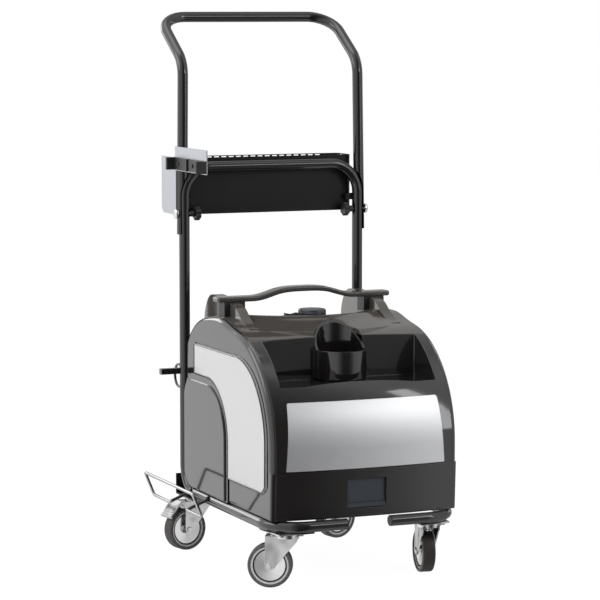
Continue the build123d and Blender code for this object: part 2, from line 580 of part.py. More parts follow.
def deck(outer, shell):
    t = shell_t
    top = part_of(shell, -seam_x, seam_x, shell_split_y, rear_split_y, skirt_top, 600)
    axis = Axis((0, crest_center_y, 0), (0, 0, 1))
    bulge_face = make_face(Polyline((crest_center_y - lip_r, lip_z), (crest_center_y - lip_r + 3, lip_z + 5),
                                    (-40, 456), (-24, 462), (crest_center_y - crest_r, crest_z),
                                    (crest_center_y - well_r, crest_z - 3),
                                    (crest_center_y - well_r, lip_z - 8), (crest_center_y - lip_r, lip_z - 8),
                                    close=True))
    bulge = revolve(Plane.YZ * bulge_face, axis=axis, revolution_arc=120)
    bulge = Pos(0, crest_center_y, 0) * Rot(0, 0, -60) * Pos(0, -crest_center_y, 0) * bulge
    bulge &= box(-well_half_w - 14, well_half_w + 14, shell_split_y, 90, lip_z - 8, 500)
    inside = body_solid(t)
    bulge -= inside
    floor = box(-well_half_w - t, well_half_w + t, -30, well_rear + t, well_floor - t, 600) & outer
    well = box(-well_half_w, well_half_w, -30, well_rear, well_floor, 600)
    well &= (Pos(0, crest_center_y, 500) * Cylinder(well_r, 200)) + box(-500, 500, crest_center_y, 500, 300, 700)
    body = (top + floor - well) + bulge
    line = [(-178, -46), (-150, -40), (-128, -29), (-106, -15), (-80, -8.5), (-40, -4), (0, 0),
            (26, -3), (44, -18), (57, -55)]
    fin = yz_solid([(fin_top_y + y, fin_top_z + z) for y, z in line], -fin_t / 2, fin_t / 2, spline=True)
    fin &= box(-50, 50, -60, 196, well_floor - 30, 600)
    under = handle_low_z - handle_t / 2
    for side in (-1, 1):
        put = Pos(side * fin_x, 0, 0) * fin - inside
        put -= box(-200, 200, handle_y - handle_d / 2 - 1, handle_y + handle_d / 2 + 1, under, 600)
        body += put
    body -= Pos(0, cap_y, well_floor) * Cylinder(neck_d / 2 + gap, 40)
    boss = box(switch_x - switch_w / 2 - 3, switch_x + switch_w / 2 + 3, switch_y - switch_d / 2 - 3,
               switch_y + switch_d / 2 + 3, well_floor - t, switch_top - 5)
    cavity = box(switch_x - switch_w / 2 - 0.6, switch_x + switch_w / 2 + 0.6, switch_y - switch_d / 2 - gap,
                 switch_y + switch_d / 2 + gap, well_floor + 6, 600)
    hinge_z = switch_top - switch_travel
    pin_r = switch_pin_d / 2
    body = body + boss - cavity
    body -= rod((switch_x, switch_y - switch_d / 2 - 2, hinge_z), (0, 1, 0), pin_r + run, switch_d + 4)
    body = (body - cup_pocket()).solids().sort_by(SortBy.VOLUME)[-1]
    keep("deck", body)
    rocker = yz_solid([(-switch_w / 2, hinge_z - 3), (switch_w / 2, hinge_z - 3), (switch_w / 2, switch_top),
                       (0, switch_top - 2.5), (-switch_w / 2, switch_top)], -switch_d / 2, switch_d / 2)
    rocker = Pos(switch_x, switch_y, 0) * Rot(0, 0, 90) * rocker
    rocker += rod((switch_x, switch_y - switch_d / 2 - 1.5, hinge_z), (0, 1, 0), pin_r, switch_d + 3)
    keep("power_switch", rocker)


def carry_handle():
    """Flat rounded bar bowed up between the two feet."""
    under = handle_low_z - handle_t / 2
    e, f, h = handle_end_x, handle_flat_x, handle_t / 2
    bow = [(-f, handle_low_z), (-50, handle_high_z - 3.5), (0, handle_high_z), (50, handle_high_z - 3.5),
           (f, handle_low_z)]

    def edge(shift):
        return Spline(*[(x, z + shift) for x, z in bow], tangents=[(1, 0), (1, 0)])

    outline = (Line((-e, under), (-f, under)) + edge(-h) + Line((f, under), (e, under))
               + Line((e, under), (e, under + handle_t)) + Line((e, under + handle_t), (f, under + handle_t))
               + edge(h) + Line((-f, under + handle_t), (-e, under + handle_t))
               + Line((-e, under + handle_t), (-e, under)))
    bar = extrude(Plane.XZ.offset(-handle_y - handle_d / 2) * make_face(outline), handle_d)
    bar = fillet(bar.edges().filter_by(Axis.Z), 6)
    long_edges = [x for x in bar.edges() if abs(x.center().Y - handle_y) > handle_d / 2 - 0.01
                  and abs(x.center().X) < e - 5]
    keep("carry_handle", fillet(long_edges, 3.0))
    feet = []
    for side in (-1, 1):
        x0, x1 = sorted((side * foot_x0, side * foot_x1))
        foot = box(x0, x1, handle_y - foot_len / 2, handle_y + foot_len / 2, well_floor - 3, under)
        foot = foot - made["deck"] - body_solid(0.5)
        feet += [s for s in foot.solids() if s.volume > 200]
    keep("handle_posts", Compound(feet))


def inner_pieces(shell):
    t = shell_t
    pan = part_of(shell, -seam_x, seam_x, body_front + pan_inset, rear_split_y, 0, body_bottom + t)
    keep("base_pan", pan)
    rear = part_of(shell, -seam_x, seam_x, rear_split_y, 400, 0, 600)
    rear -= rod((gland_x, rear_split_y - 50, gland_z), (0, 1, 0), gland_d / 2 + seat, 100)
    keep("rear_panel", rear)
    gland = rod((gland_x, body_rear, gland_z), (0, 1, 0), gland_d / 2 + 3, gland_len)
    gland += rod((gland_x, body_rear + 1, gland_z), (0, -1, 0), gland_d / 2, gland_len + 2)
    keep("cord_gland", gland - rod((gland_x, body_rear + gland_len + 1, gland_z), (0, -1, 0), cord_d / 2, 30))
    low = body_bottom + t
    neck_top = cap_top - cap_skirt
    tank = box(tank_x0, tank_x1, tank_y0, tank_y1, low, tank_top)
    tank -= box(tank_x0 + t, tank_x1 - t, tank_y0 + t, tank_y1 - t, low + t, tank_top - t)
    tank += Pos(0, cap_y, tank_top - t) * extrude(Circle(neck_d / 2), neck_top - tank_top + t)
    tank -= Pos(0, cap_y, tank_top - t - 1) * extrude(Circle(neck_d / 2 - t), neck_top - tank_top + t + 2)
    keep("water_tank", tank)
    keep("boiler", Pos(boiler_x, boiler_y, low) * extrude(Circle(boiler_d / 2), boiler_h))
    cap = Pos(0, cap_y, neck_top) * extrude(Circle(cap_d / 2), cap_skirt)
    cap = fillet(cap.faces().sort_by(Axis.Z)[-1].edges(), 2.5)
    collar_h = neck_top - well_floor - gap
    cap += Pos(0, cap_y, well_floor + gap) * extrude(Circle(collar_d / 2), collar_h)
    cap -= Pos(0, cap_y, well_floor - 1) * extrude(Circle(neck_d / 2 + gap), neck_top - well_floor + 1 + gap)
    keep("filler_cap", cap)


def machine():
    outer = body_solid(0)
    shell = outer - body_solid(shell_t)
    side_pieces(shell)
    front_pieces(outer, shell)
    cup()
    deck(outer, shell)
    carry_handle()
    inner_pieces(shell)


tube = frame()
plates()
rear_bar()
cradle(tube)
accessory_bin(tube)
handle()
side_bracket()
casters()
machine()

# ---- centre on the floor origin and write one file per piece ----
everything = Compound([s for shape in made.values() for s in shape.solids()])
limits = everything.bounding_box()
shift_x = -(limits.min.X + limits.max.X) / 2
shift_y = -(limits.min.Y + limits.max.Y) / 2
for name, shape in made.items():
    solids = shape.solids()
    piece = Compound(solids) if len(solids) > 1 else solids[0]
    export_step(Pos(shift_x, shift_y, 0) * piece, "parts/" + name + ".step")
print("pieces", len(made), "shift", round(shift_x, 3), round(shift_y, 3), "size", limits.size)
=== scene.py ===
import json
import math

import bmesh
import bpy
from mathutils import Matrix, Vector

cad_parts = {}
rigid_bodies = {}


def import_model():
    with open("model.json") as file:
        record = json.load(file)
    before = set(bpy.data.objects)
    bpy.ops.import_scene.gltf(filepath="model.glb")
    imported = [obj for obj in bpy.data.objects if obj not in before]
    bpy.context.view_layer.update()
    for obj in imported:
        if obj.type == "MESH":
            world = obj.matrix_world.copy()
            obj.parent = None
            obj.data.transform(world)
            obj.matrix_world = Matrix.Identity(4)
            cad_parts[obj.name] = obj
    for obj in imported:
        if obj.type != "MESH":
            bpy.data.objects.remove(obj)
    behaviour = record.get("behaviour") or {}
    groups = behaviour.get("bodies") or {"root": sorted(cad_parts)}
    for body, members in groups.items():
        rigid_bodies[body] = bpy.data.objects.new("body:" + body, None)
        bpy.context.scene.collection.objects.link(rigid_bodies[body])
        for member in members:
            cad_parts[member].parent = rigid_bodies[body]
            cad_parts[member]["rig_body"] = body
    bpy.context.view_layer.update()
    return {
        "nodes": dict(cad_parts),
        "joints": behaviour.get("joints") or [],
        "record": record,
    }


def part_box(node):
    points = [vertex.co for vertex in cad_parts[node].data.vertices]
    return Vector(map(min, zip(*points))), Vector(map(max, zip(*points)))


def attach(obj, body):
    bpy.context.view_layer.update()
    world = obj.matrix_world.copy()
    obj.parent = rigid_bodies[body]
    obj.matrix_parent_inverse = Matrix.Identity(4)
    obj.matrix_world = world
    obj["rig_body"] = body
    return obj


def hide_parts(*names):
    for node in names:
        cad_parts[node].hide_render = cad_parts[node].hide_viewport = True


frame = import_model()
nodes = frame["nodes"]
joints = {joint["name"]: joint for joint in frame["joints"]}
slotOf = {part["node"]: part["material_slot"] for part in frame["record"]["subparts"]}
print("frame loaded,", len(nodes), "nodes")


# ---- shader building ----
class Sock:
    def __init__(self, graph, socket):
        self.graph, self.socket = graph, socket

    def calc(self, operation, *others):
        values = {0: self}
        values.update({i + 1: other for i, other in enumerate(others)})
        return self.graph.add("ShaderNodeMath", values, operation=operation).out()

    def __add__(self, other): return self.calc("ADD", other)
    def __sub__(self, other): return self.calc("SUBTRACT", other)
    def __mul__(self, other): return self.calc("MULTIPLY", other)
    def __truediv__(self, other): return self.calc("DIVIDE", other)
    def __pow__(self, other): return self.calc("POWER", other)
    def __rsub__(self, other): return self.calc("MULTIPLY_ADD", -1.0, other)

    def absolute(self): return self.calc("ABSOLUTE")

    def below(self, edge, soft):
        # 1 under the edge, 0 above it, with a soft step
        step = self.graph.add("ShaderNodeMapRange", {"Value": self, "From Min": edge - soft, "From Max": edge + soft,
                                                     "To Min": 1.0, "To Max": 0.0}, clamp=True)
        return step.out()


class Step:
    def __init__(self, graph, node):
        self.graph, self.node = graph, node

    def out(self, name=0):
        return Sock(self.graph, self.node.outputs[name])


class Tree:
    # adds nodes to a shader or geometry tree; settings come first, then values or links
    def add(self, kind, values=None, **settings):
        node = self.tree.nodes.new(kind)
        stops = settings.pop("stops", None)
        for key, value in settings.items():
            setattr(node, key, value)
        if stops:
            marks = node.color_ramp.elements
            marks.remove(marks[-1])
            marks[0].position = stops[0][0]
            marks[0].color = (*stops[0][1], 1.0)
            for place, shade in stops[1:]:
                marks.new(place).color = (*shade, 1.0)
        for key, value in (values or {}).items():
            if isinstance(value, Sock):
                self.tree.links.new(value.socket, node.inputs[key])
            else:
                node.inputs[key].default_value = value
        return Step(self, node)


class Graph(Tree):
    def __init__(self, name):
        self.material = bpy.data.materials.new(name)
        self.material.use_nodes = True
        self.tree = self.material.node_tree
        self.tree.nodes.clear()

    def place(self):
        return self.add("ShaderNodeTexCoord").out("Object")

    def axes(self):
        split = self.add("ShaderNodeSeparateXYZ", {0: self.place()})
        return [split.out(i) for i in range(3)]

    def noise(self, scale, detail=3.0, stretch=None):
        where = self.place()
        if stretch:
            where = self.add("ShaderNodeMapping", {0: where, "Scale": stretch}).out()
        return self.add("ShaderNodeTexNoise", {"Vector": where, "Scale": scale, "Detail": detail,
                                               "Roughness": 0.55}).out(0)

    def shade(self, dark, light, factor):
        mix = self.add("ShaderNodeMix", data_type="RGBA")
        for key, value in ((0, factor), (6, dark), (7, light)):
            if isinstance(value, Sock):
                self.tree.links.new(value.socket, mix.node.inputs[key])
            else:
                mix.node.inputs[key].default_value = value if key == 0 else (*value, 1.0)
        return Sock(self, mix.node.outputs[2])

    def tint(self, look, factor):
        # the look's colour, between its darker and its lighter tone
        dark, light = look["tones"]
        return self.shade(scaled(look["color"], dark), scaled(look["color"], light), factor)

    def finish(self, height=None, depth=0.0, bump=0.0, edge=None, **sockets):
        names = {"color": "Base Color", "rough": "Roughness", "metal": "Metallic", "coat": "Coat Weight",
                 "coatRough": "Coat Roughness", "level": "Specular IOR Level"}
        values = {}
        for key, value in sockets.items():
            values[names[key]] = (*value, 1.0) if key == "color" and not isinstance(value, Sock) else value
        if edge:
            values["Normal"] = self.add("ShaderNodeBevel", {"Radius": edge}, samples=4).out()
        if height is not None:
            relief = {"Height": height, "Distance": depth, "Strength": bump}
            relief.update({"Normal": values["Normal"]} if edge else {})
            values["Normal"] = self.add("ShaderNodeBump", relief).out()
        body = self.add("ShaderNodeBsdfPrincipled", values)
        self.add("ShaderNodeOutputMaterial", {"Surface": body.out()})
        return self.material


def scaled(color, amount):
    return tuple(min(1.0, c * amount) for c in color)


# ---- finishes ----
# lengths are in metres; grain, ripple, wear and other scales are noise cells to a metre
shellLook = {"color": (0.014, 0.0125, 0.012), "tones": (0.85, 1.2), "rough": 0.07, "coat": 0.4, "coatRough": 0.04,
             "smudge": 0.04, "smudgeScale": 9.0, "ripple": 120.0, "depth": 0.00004, "bump": 0.12, "edge": 0.0018}
# the deck is a lighter copy of the shell's black: painted light, standing in for the overhead light on its top
overheadLitDeckLook = dict(shellLook, color=(0.085, 0.075, 0.067), rough=0.12)
# the carry handle is a lighter copy of the shell's black: painted light, standing in for the overhead light on its
# top
overheadLitHandleLook = dict(shellLook, color=(0.055, 0.049, 0.046), rough=0.10)
tubeLook = {"color": (0.011, 0.0095, 0.0095), "rough": 0.09, "coat": 0.3, "coatRough": 0.05, "wear": 0.06,
            "wearScale": 20.0, "orangePeel": 260.0, "depth": 0.00002, "bump": 0.1}
matteLook = {"color": (0.014, 0.014, 0.015), "tones": (0.8, 1.25), "toneScale": 30.0, "rough": 0.42, "wear": 0.1,
             "wearScale": 60.0, "grain": 2200.0, "depth": 0.00006, "bump": 0.5, "level": 0.5}
sheetLook = dict(matteLook, color=(0.008, 0.008, 0.008), rough=0.38, grain=1500.0, depth=0.00004, level=0.25)
panelLook = {"color": (0.66, 0.665, 0.68), "tones": (0.9, 1.08), "rough": 0.40, "streak": 0.12,
             "stretch": (12.0, 1200.0, 1200.0), "depth": 0.00003, "bump": 0.35}
stainlessLook = dict(panelLook, color=(0.47, 0.485, 0.515), rough=0.28, stretch=(30.0, 30.0, 1500.0))
boilerLook = dict(panelLook, color=(0.55, 0.55, 0.55), rough=0.35, streak=0.1, stretch=(800.0, 800.0, 10.0))
zincLook = {"color": (0.56, 0.56, 0.56), "tones": (0.94, 1.06), "spangle": 70.0, "rough": 0.14, "mottle": 0.10,
            "mottleScale": 45.0, "waves": 22.0, "depth": 0.010, "bump": 0.5, "edge": 0.0005}
pedalLook = dict(zincLook, color=(0.36, 0.36, 0.36), rough=0.22)
silverLook = {"color": (0.66, 0.66, 0.67), "tones": (0.98, 1.02), "rough": 0.32, "metal": 0.0, "coat": 0.2,
              "wear": 0.05, "wearScale": 12.0, "grain": 1400.0, "depth": 0.00001, "bump": 0.15}
chromeLook = dict(silverLook, color=(0.60, 0.60, 0.62), rough=0.12, metal=1.0, coat=0.0)
blueLook = dict(silverLook, color=(0.030, 0.038, 0.052), rough=0.33)
tankLook = dict(silverLook, color=(0.75, 0.76, 0.74), rough=0.5, coat=0.0)
wireLook = {"chrome": (0.38, 0.38, 0.39), "black": (0.020, 0.019, 0.019), "rough": 0.12, "wear": 0.06,
            "wearScale": 30.0, "reach": 0.0245, "soft": 0.002}
tyreLook = {"side": (0.098, 0.097, 0.095), "tread": (0.028, 0.022, 0.019), "edge": 0.0105, "soft": 0.0006,
            "rough": 0.5, "wear": 0.15, "wearScale": 40.0}
# ring is a painted highlight on the rounded shoulder, groove is painted shade in the groove, disc is the silver
# cover's own colour
wheelLook = {"ring": (0.80, 0.80, 0.80), "groove": (0.05, 0.05, 0.05), "disc": (0.72, 0.72, 0.72),
             "grooveIn": 0.0278, "grooveOut": 0.0307, "soft": 0.0003, "dome": 0.10, "bump": 1.0, "metal": 0.95,
             "rough": 0.42, "polish": 0.24, "wear": 0.05, "wearScale": 60.0}


def glossShell(name, look):
    g = Graph(name)
    smudge = g.noise(look["smudgeScale"], 4.0)
    return g.finish(height=g.noise(look["ripple"], 1.0), depth=look["depth"], bump=look["bump"], edge=look["edge"],
                    color=g.tint(look, smudge), rough=smudge * look["smudge"] + look["rough"], coat=look["coat"],
                    coatRough=look["coatRough"])


def glossTube(name, look):
    g = Graph(name)
    peel = g.noise(look["orangePeel"], 1.0)
    return g.finish(height=peel, depth=look["depth"], bump=look["bump"], color=look["color"],
                    rough=g.noise(look["wearScale"]) * look["wear"] + look["rough"], coat=look["coat"],
                    coatRough=look["coatRough"])


def grainy(name, look):
    g = Graph(name)
    return g.finish(height=g.noise(look["grain"], 2.0), depth=look["depth"], bump=look["bump"], level=look["level"],
                    color=g.tint(look, g.noise(look["toneScale"])),
                    rough=g.noise(look["wearScale"]) * look["wear"] + look["rough"])


def brushed(name, look):
    g = Graph(name)
    streaks = g.noise(1.0, 2.0, stretch=look["stretch"])
    return g.finish(height=streaks, depth=look["depth"], bump=look["bump"], color=g.tint(look, streaks),
                    rough=streaks * look["streak"] + look["rough"], metal=1.0)


def mottled(name, look):
    g = Graph(name)
    spangle = g.noise(look["spangle"], 2.0)
    return g.finish(height=g.noise(look["waves"], 1.0), depth=look["depth"], bump=look["bump"], edge=look["edge"],
                    color=g.tint(look, spangle),
                    rough=g.noise(look["mottleScale"]) * look["mottle"] + look["rough"], metal=1.0)


def plain(name, look):
    g = Graph(name)
    wear = g.noise(look["wearScale"], 2.0)
    return g.finish(height=g.noise(look["grain"], 1.0), depth=look["depth"], bump=look["bump"],
                    color=g.tint(look, wear), rough=wear * look["wear"] + look["rough"], metal=look["metal"],
                    coat=look["coat"])


def fromAxle(g, centre, axis):
    # how far a point is along the axle, and from the wheel's centre
    arm = g.add("ShaderNodeVectorMath", {0: g.place(), 1: centre}, operation="SUBTRACT").out()
    along = g.add("ShaderNodeVectorMath", {0: arm, 1: axis}, operation="DOT_PRODUCT").out("Value")
    return along, g.add("ShaderNodeVectorMath", {0: arm}, operation="LENGTH").out("Value")


def wheelFace(name, look, centre, axis):
    # rings on the wheel's side, by the distance from its axle; the light ring is a painted highlight on the rounded
    # shoulder and the dark ring is painted shade in the groove
    g = Graph(name)
    along, length = fromAxle(g, centre, axis)
    far = (length * length - along * along) ** 0.5
    disc = far.below(look["grooveIn"], look["soft"])
    grooveShadeMask = far.below(look["grooveOut"], look["soft"])
    litAndShadedRings = g.shade(look["ring"], look["groove"], grooveShadeMask)
    dome = far.calc("MINIMUM", look["grooveIn"])
    return g.finish(height=dome, depth=look["dome"], bump=look["bump"], color=g.shade(litAndShadedRings, look["disc"], disc),
                    metal=disc * look["metal"],
                    rough=look["rough"] - disc * look["polish"] + g.noise(look["wearScale"]) * look["wear"])


def tyreFace(name, look, centre, axis):
    # grey sidewalls and a dark tread, by the distance from the wheel's middle plane
    g = Graph(name)
    along = fromAxle(g, centre, axis)[0]
    wear = g.noise(look["wearScale"])
    tread = along.absolute().below(look["edge"], look["soft"])
    return g.finish(color=g.shade(look["side"], look["tread"], tread), rough=wear * look["wear"] + look["rough"])


def wireFace(name, look, left):
    # bright wire with dark arms, told apart by how far in from the left they are
    g = Graph(name)
    bright = g.axes()[0].below(left + look["reach"], look["soft"])
    return g.finish(color=g.shade(look["black"], look["chrome"], bright), metal=bright,
                    rough=g.noise(look["wearScale"]) * look["wear"] + look["rough"])


finishes = {
    "black_gloss": glossShell("glossShell", shellLook),
    "black_paint": glossTube("glossTube", tubeLook),
    "black_matte": grainy("mattePlastic", matteLook),
    "chrome_wire": wireFace("chromeWire", wireLook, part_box("wire_cradle")[0][0]),
    "bright_bolt": plain("brightBolt", chromeLook),
    "stainless": brushed("stainlessSheet", stainlessLook),
    "brushed_panel": brushed("brushedPanel", panelLook),
    "zinc": mottled("zincPlate", zincLook),
    "silver_plastic": plain("silverPlastic", silverLook),
    "blue_grey": plain("blueGreyPlastic", blueLook),
    "tank_white": plain("tankPlastic", tankLook),
    "boiler_steel": brushed("boilerSteel", boilerLook),
}
# nodes that look unlike the rest of their slot
sheetFinish, pedalFinish = grainy("sheetPaint", sheetLook), mottled("zincPedal", pedalLook)
special = {
    "deck": glossShell("glossDeck", overheadLitDeckLook), "carry_handle": glossShell("glossHandle", overheadLitHandleLook),
    "clip_screws": finishes["black_matte"],
    "accessory_bin": sheetFinish, "rear_plate": sheetFinish, "front_gussets": sheetFinish,
    "brake_pedal_rear_left": pedalFinish, "brake_pedal_rear_right": pedalFinish,
}
print("finishes built")


# ---- geometry node trees ----
socketKinds = {int: "NodeSocketInt", float: "NodeSocketFloat", bpy.types.Material: "NodeSocketMaterial"}


class GeoTree(Tree):
    def __init__(self, name, **inputs):
        self.tree = bpy.data.node_groups.new(name, "GeometryNodeTree")
        face = self.tree.interface
        face.new_socket("Geometry", in_out="INPUT", socket_type="NodeSocketGeometry")
        self.ids = {}
        for label, kind in inputs.items():
            self.ids[label] = face.new_socket(label, in_out="INPUT", socket_type=socketKinds[kind]).identifier
        face.new_socket("Geometry", in_out="OUTPUT", socket_type="NodeSocketGeometry")
        self.start = self.add("NodeGroupInput")

    def take(self, label):
        return self.start.out(label)

    def end(self, geometry):
        real = self.add("GeometryNodeRealizeInstances", {0: geometry})
        smooth = self.add("GeometryNodeSetShadeSmooth", {"Geometry": real.out()})
        painted = self.add("GeometryNodeSetMaterial", {"Geometry": smooth.out(), "Material": self.take("finish")})
        self.add("NodeGroupOutput", {0: painted.out()})
        return self

    def make(self, name, host, body, slotName, **values):
        carrier = bpy.data.objects.new(name + "Path", host)
        bpy.context.scene.collection.objects.link(carrier)
        modifier = carrier.modifiers.new(self.tree.name, "NODES")
        modifier.node_group = self.tree
        for label, value in values.items():
            modifier[self.ids[label]] = value
        ready = carrier.evaluated_get(bpy.context.evaluated_depsgraph_get())
        mesh = bpy.data.meshes.new_from_object(ready)
        bpy.data.objects.remove(carrier)
        obj = bpy.data.objects.new(name, mesh)
        bpy.context.scene.collection.objects.link(obj)
        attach(obj, body)
        return obj


def pointMesh(name, points):
    mesh = bpy.data.meshes.new(name)
    mesh.from_pydata(points, [], [])
    return mesh


weldShape = {"turn": (6.28, 6.28, 6.28), "least": (0.8, 0.8, 0.6), "most": (1.2, 1.2, 0.9), "rounding": 2}


def beadTree():
    # small uneven blobs on each point, as a weld leaves
    g = GeoTree("weldBeads", beadSize=float, seed=int, finish=bpy.types.Material)
    blob = g.add("GeometryNodeMeshIcoSphere", {"Radius": g.take("beadSize"),
                                                   "Subdivisions": weldShape["rounding"]})
    turn = g.add("FunctionNodeRandomValue", {"Min": (0.0, 0.0, 0.0), "Max": weldShape["turn"],
                                             "Seed": g.take("seed")}, data_type="FLOAT_VECTOR")
    size = g.add("FunctionNodeRandomValue", {"Min": weldShape["least"], "Max": weldShape["most"],
                                             "Seed": g.take("seed")}, data_type="FLOAT_VECTOR")
    spread = g.add("GeometryNodeInstanceOnPoints", {"Points": g.take("Geometry"), "Instance": blob.out(),
                                                    "Rotation": turn.out(0), "Scale": size.out(0)})
    return g.end(spread.out())


def rimTree():
    # a round bead along the edges it is given
    g = GeoTree("rimBead", beadRadius=float, sides=int, spacing=float, finish=bpy.types.Material)
    line = g.add("GeometryNodeMeshToCurve", {"Mesh": g.take("Geometry")})
    even = g.add("GeometryNodeResampleCurve", {"Curve": line.out(), "Length": g.take("spacing")}, mode="LENGTH")
    ring = g.add("GeometryNodeCurvePrimitiveCircle", {"Resolution": g.take("sides"), "Radius": g.take("beadRadius")})
    bead = g.add("GeometryNodeCurveToMesh", {"Curve": even.out(), "Profile Curve": ring.out()})
    return g.end(bead.out())


def screwTree():
    # low round heads on points, tipped over together
    g = GeoTree("screwHeads", headRadius=float, crownRadius=float, headHeight=float, sides=int, tip=float,
                finish=bpy.types.Material)
    head = g.add("GeometryNodeMeshCone", {"Vertices": g.take("sides"), "Radius Top": g.take("crownRadius"),
                                          "Radius Bottom": g.take("headRadius"), "Depth": g.take("headHeight")})
    tip = g.add("ShaderNodeCombineXYZ", {0: g.take("tip")})
    spread = g.add("GeometryNodeInstanceOnPoints", {"Points": g.take("Geometry"), "Instance": head.out(),
                                                    "Rotation": tip.out()})
    return g.end(spread.out())


def ribTree():
    # upright ribs round a cap
    g = GeoTree("gripRibs", count=int, ringRadius=float, ribWidth=float, ribDepth=float, ribHeight=float,
                finish=bpy.types.Material)
    ring = g.add("GeometryNodeMeshCircle", {"Vertices": g.take("count"), "Radius": g.take("ringRadius")})
    size = g.add("ShaderNodeCombineXYZ", {0: g.take("ribDepth"), 1: g.take("ribWidth"), 2: g.take("ribHeight")})
    bar = g.add("GeometryNodeMeshCube", {"Size": size.out()})
    out = g.add("FunctionNodeAlignRotationToVector", {"Vector": g.add("GeometryNodeInputPosition").out()}, axis="X")
    spread = g.add("GeometryNodeInstanceOnPoints", {"Points": ring.out(), "Instance": bar.out(),
                                                    "Rotation": out.out()})
    joined = g.add("GeometryNodeJoinGeometry")
    g.tree.links.new(spread.out().socket, joined.node.inputs[0])
    return g.end(joined.out())


rimBead, weldBeads, screwHeads, gripRibs = rimTree(), beadTree(), screwTree(), ribTree()
print("geometry trees built")


# ---- skins: merged, smoothly shaded copies of the CAD pieces ----
skinRules = {"merge": 0.000004, "sharpAngle": 26.0}


def bodyOf(name):
    return nodes[name]["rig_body"]


def skin(name, material):
    mesh = nodes[name].data.copy()
    for loose in ("custom_normal", "sharp_face", "sharp_edge"):
        if loose in mesh.attributes:
            mesh.attributes.remove(mesh.attributes[loose])
    work = bmesh.new()
    work.from_mesh(mesh)
    bmesh.ops.remove_doubles(work, verts=work.verts, dist=skinRules["merge"])
    work.to_mesh(mesh)
    work.free()
    mesh.polygons.foreach_set("use_smooth", [True] * len(mesh.polygons))
    mesh.set_sharp_from_angle(angle=math.radians(skinRules["sharpAngle"]))
    mesh.materials.clear()
    mesh.materials.append(material)
    obj = bpy.data.objects.new(name + "Skin", mesh)
    bpy.context.scene.collection.objects.link(obj)
    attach(obj, bodyOf(name))
    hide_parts(name)


# how a wheel's pieces begin, with their finish and its look
wheelPieces = {"wheel_hub_": (wheelFace, wheelLook), "wheel_tyre_": (tyreFace, tyreLook)}


def finishOf(name):
    for start, (face, look) in wheelPieces.items():
        if name.startswith(start):
            spin = joints["wheel_spin_" + name[len(start):]]
            return face(name + "Face", look, spin["pos_m"], spin["axis"])
    return special.get(name) or finishes[slotOf[name]]


for name in sorted(nodes):
    skin(name, finishOf(name))
print("skins made")


# ---- trim ----
gasket = {"radius": 0.0013, "seam": 0.0006, "sides": 10, "spacing": 0.003, "slope": 0.9}
capRibs = {"count": 40, "depth": 0.0012, "width": 0.0016, "height": 0.0085, "sink": 0.0002, "below": 0.0035}
rearScrews = {"radius": 0.004, "crown": 0.7, "height": 0.0018, "sides": 20, "inset": 0.014, "sink": 0.0002,
              "rows": 3}
wireWelds = {"size": 0.0044, "arms": (0.0835, 0.1765), "rise": 0.0225, "seed": 5}


def rimLines(name, side):
    # the edges where the outward face of a node turns into its sides
    work = bmesh.new()
    work.from_mesh(bpy.data.objects[name + "Skin"].data)
    outward = [face.normal.x * side > gasket["slope"] for face in work.faces]
    edges = [e for e in work.edges if len(e.link_faces) == 2 and sum(outward[f.index] for f in e.link_faces) == 1]
    points = sorted({v.index for e in edges for v in e.verts})
    place = {old: new for new, old in enumerate(points)}
    work.verts.ensure_lookup_table()
    mesh = bpy.data.meshes.new(name + "Rim")
    mesh.from_pydata([work.verts[i].co[:] for i in points],
                     [(place[e.verts[0].index], place[e.verts[1].index]) for e in edges], [])
    work.free()
    return mesh


def makeGasket(piece, name, side, radius):
    rimBead.make(piece, rimLines(name, side), bodyOf(name), "black_gloss", beadRadius=radius, sides=gasket["sides"],
                 spacing=gasket["spacing"], finish=finishes["black_gloss"])


for side, word in ((-1, "left"), (1, "right")):
    makeGasket("insertGasket_" + word, "side_insert_" + word, side, gasket["radius"])
    makeGasket("shellSeam_" + word, "front_shell", side, gasket["seam"])


def makeCapRibs():
    low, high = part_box("filler_cap")
    radius = (high[0] - low[0]) / 2 - capRibs["sink"]
    ribs = gripRibs.make("capRibs", pointMesh("capMid", [(0, 0, 0)]), bodyOf("filler_cap"), "blue_grey",
                         count=capRibs["count"], ringRadius=radius, ribWidth=capRibs["width"],
                         ribDepth=capRibs["depth"], ribHeight=capRibs["height"], finish=finishes["blue_grey"])
    centre = ((low[0] + high[0]) / 2, (low[1] + high[1]) / 2, high[2] - capRibs["below"] - capRibs["height"] / 2)
    ribs.data.transform(Matrix.Translation(centre))


def makeWireWelds():
    wireLow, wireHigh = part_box("wire_cradle")
    ends = [(wireHigh[0] - wireWelds["size"] / 2, wireLow[1] + reach, wireLow[2] + wireWelds["rise"])
            for reach in wireWelds["arms"]]
    weldBeads.make("wireWelds", pointMesh("weldPoints", ends), bodyOf("wire_cradle"), "black_paint",
                   beadSize=wireWelds["size"], seed=wireWelds["seed"], finish=finishes["black_paint"])


def makeRearScrews():
    # a row down each side of the flat rear panel
    low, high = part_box("rear_panel")
    left, right = low[0] + rearScrews["inset"], high[0] - rearScrews["inset"]
    bottom, top = low[2] + rearScrews["inset"], high[2] - rearScrews["inset"]
    spots = [(x, high[1] - rearScrews["sink"], bottom + (top - bottom) * i / (rearScrews["rows"] - 1))
             for x in (left, right) for i in range(rearScrews["rows"])]
    screwHeads.make("rearScrews", pointMesh("screwSpots", spots), bodyOf("rear_panel"), "bright_bolt",
                    headRadius=rearScrews["radius"], crownRadius=rearScrews["radius"] * rearScrews["crown"],
                    headHeight=rearScrews["height"], sides=rearScrews["sides"], tip=-math.pi / 2,
                    finish=finishes["bright_bolt"])


makeCapRibs()
makeWireWelds()
makeRearScrews()
print("trim made")


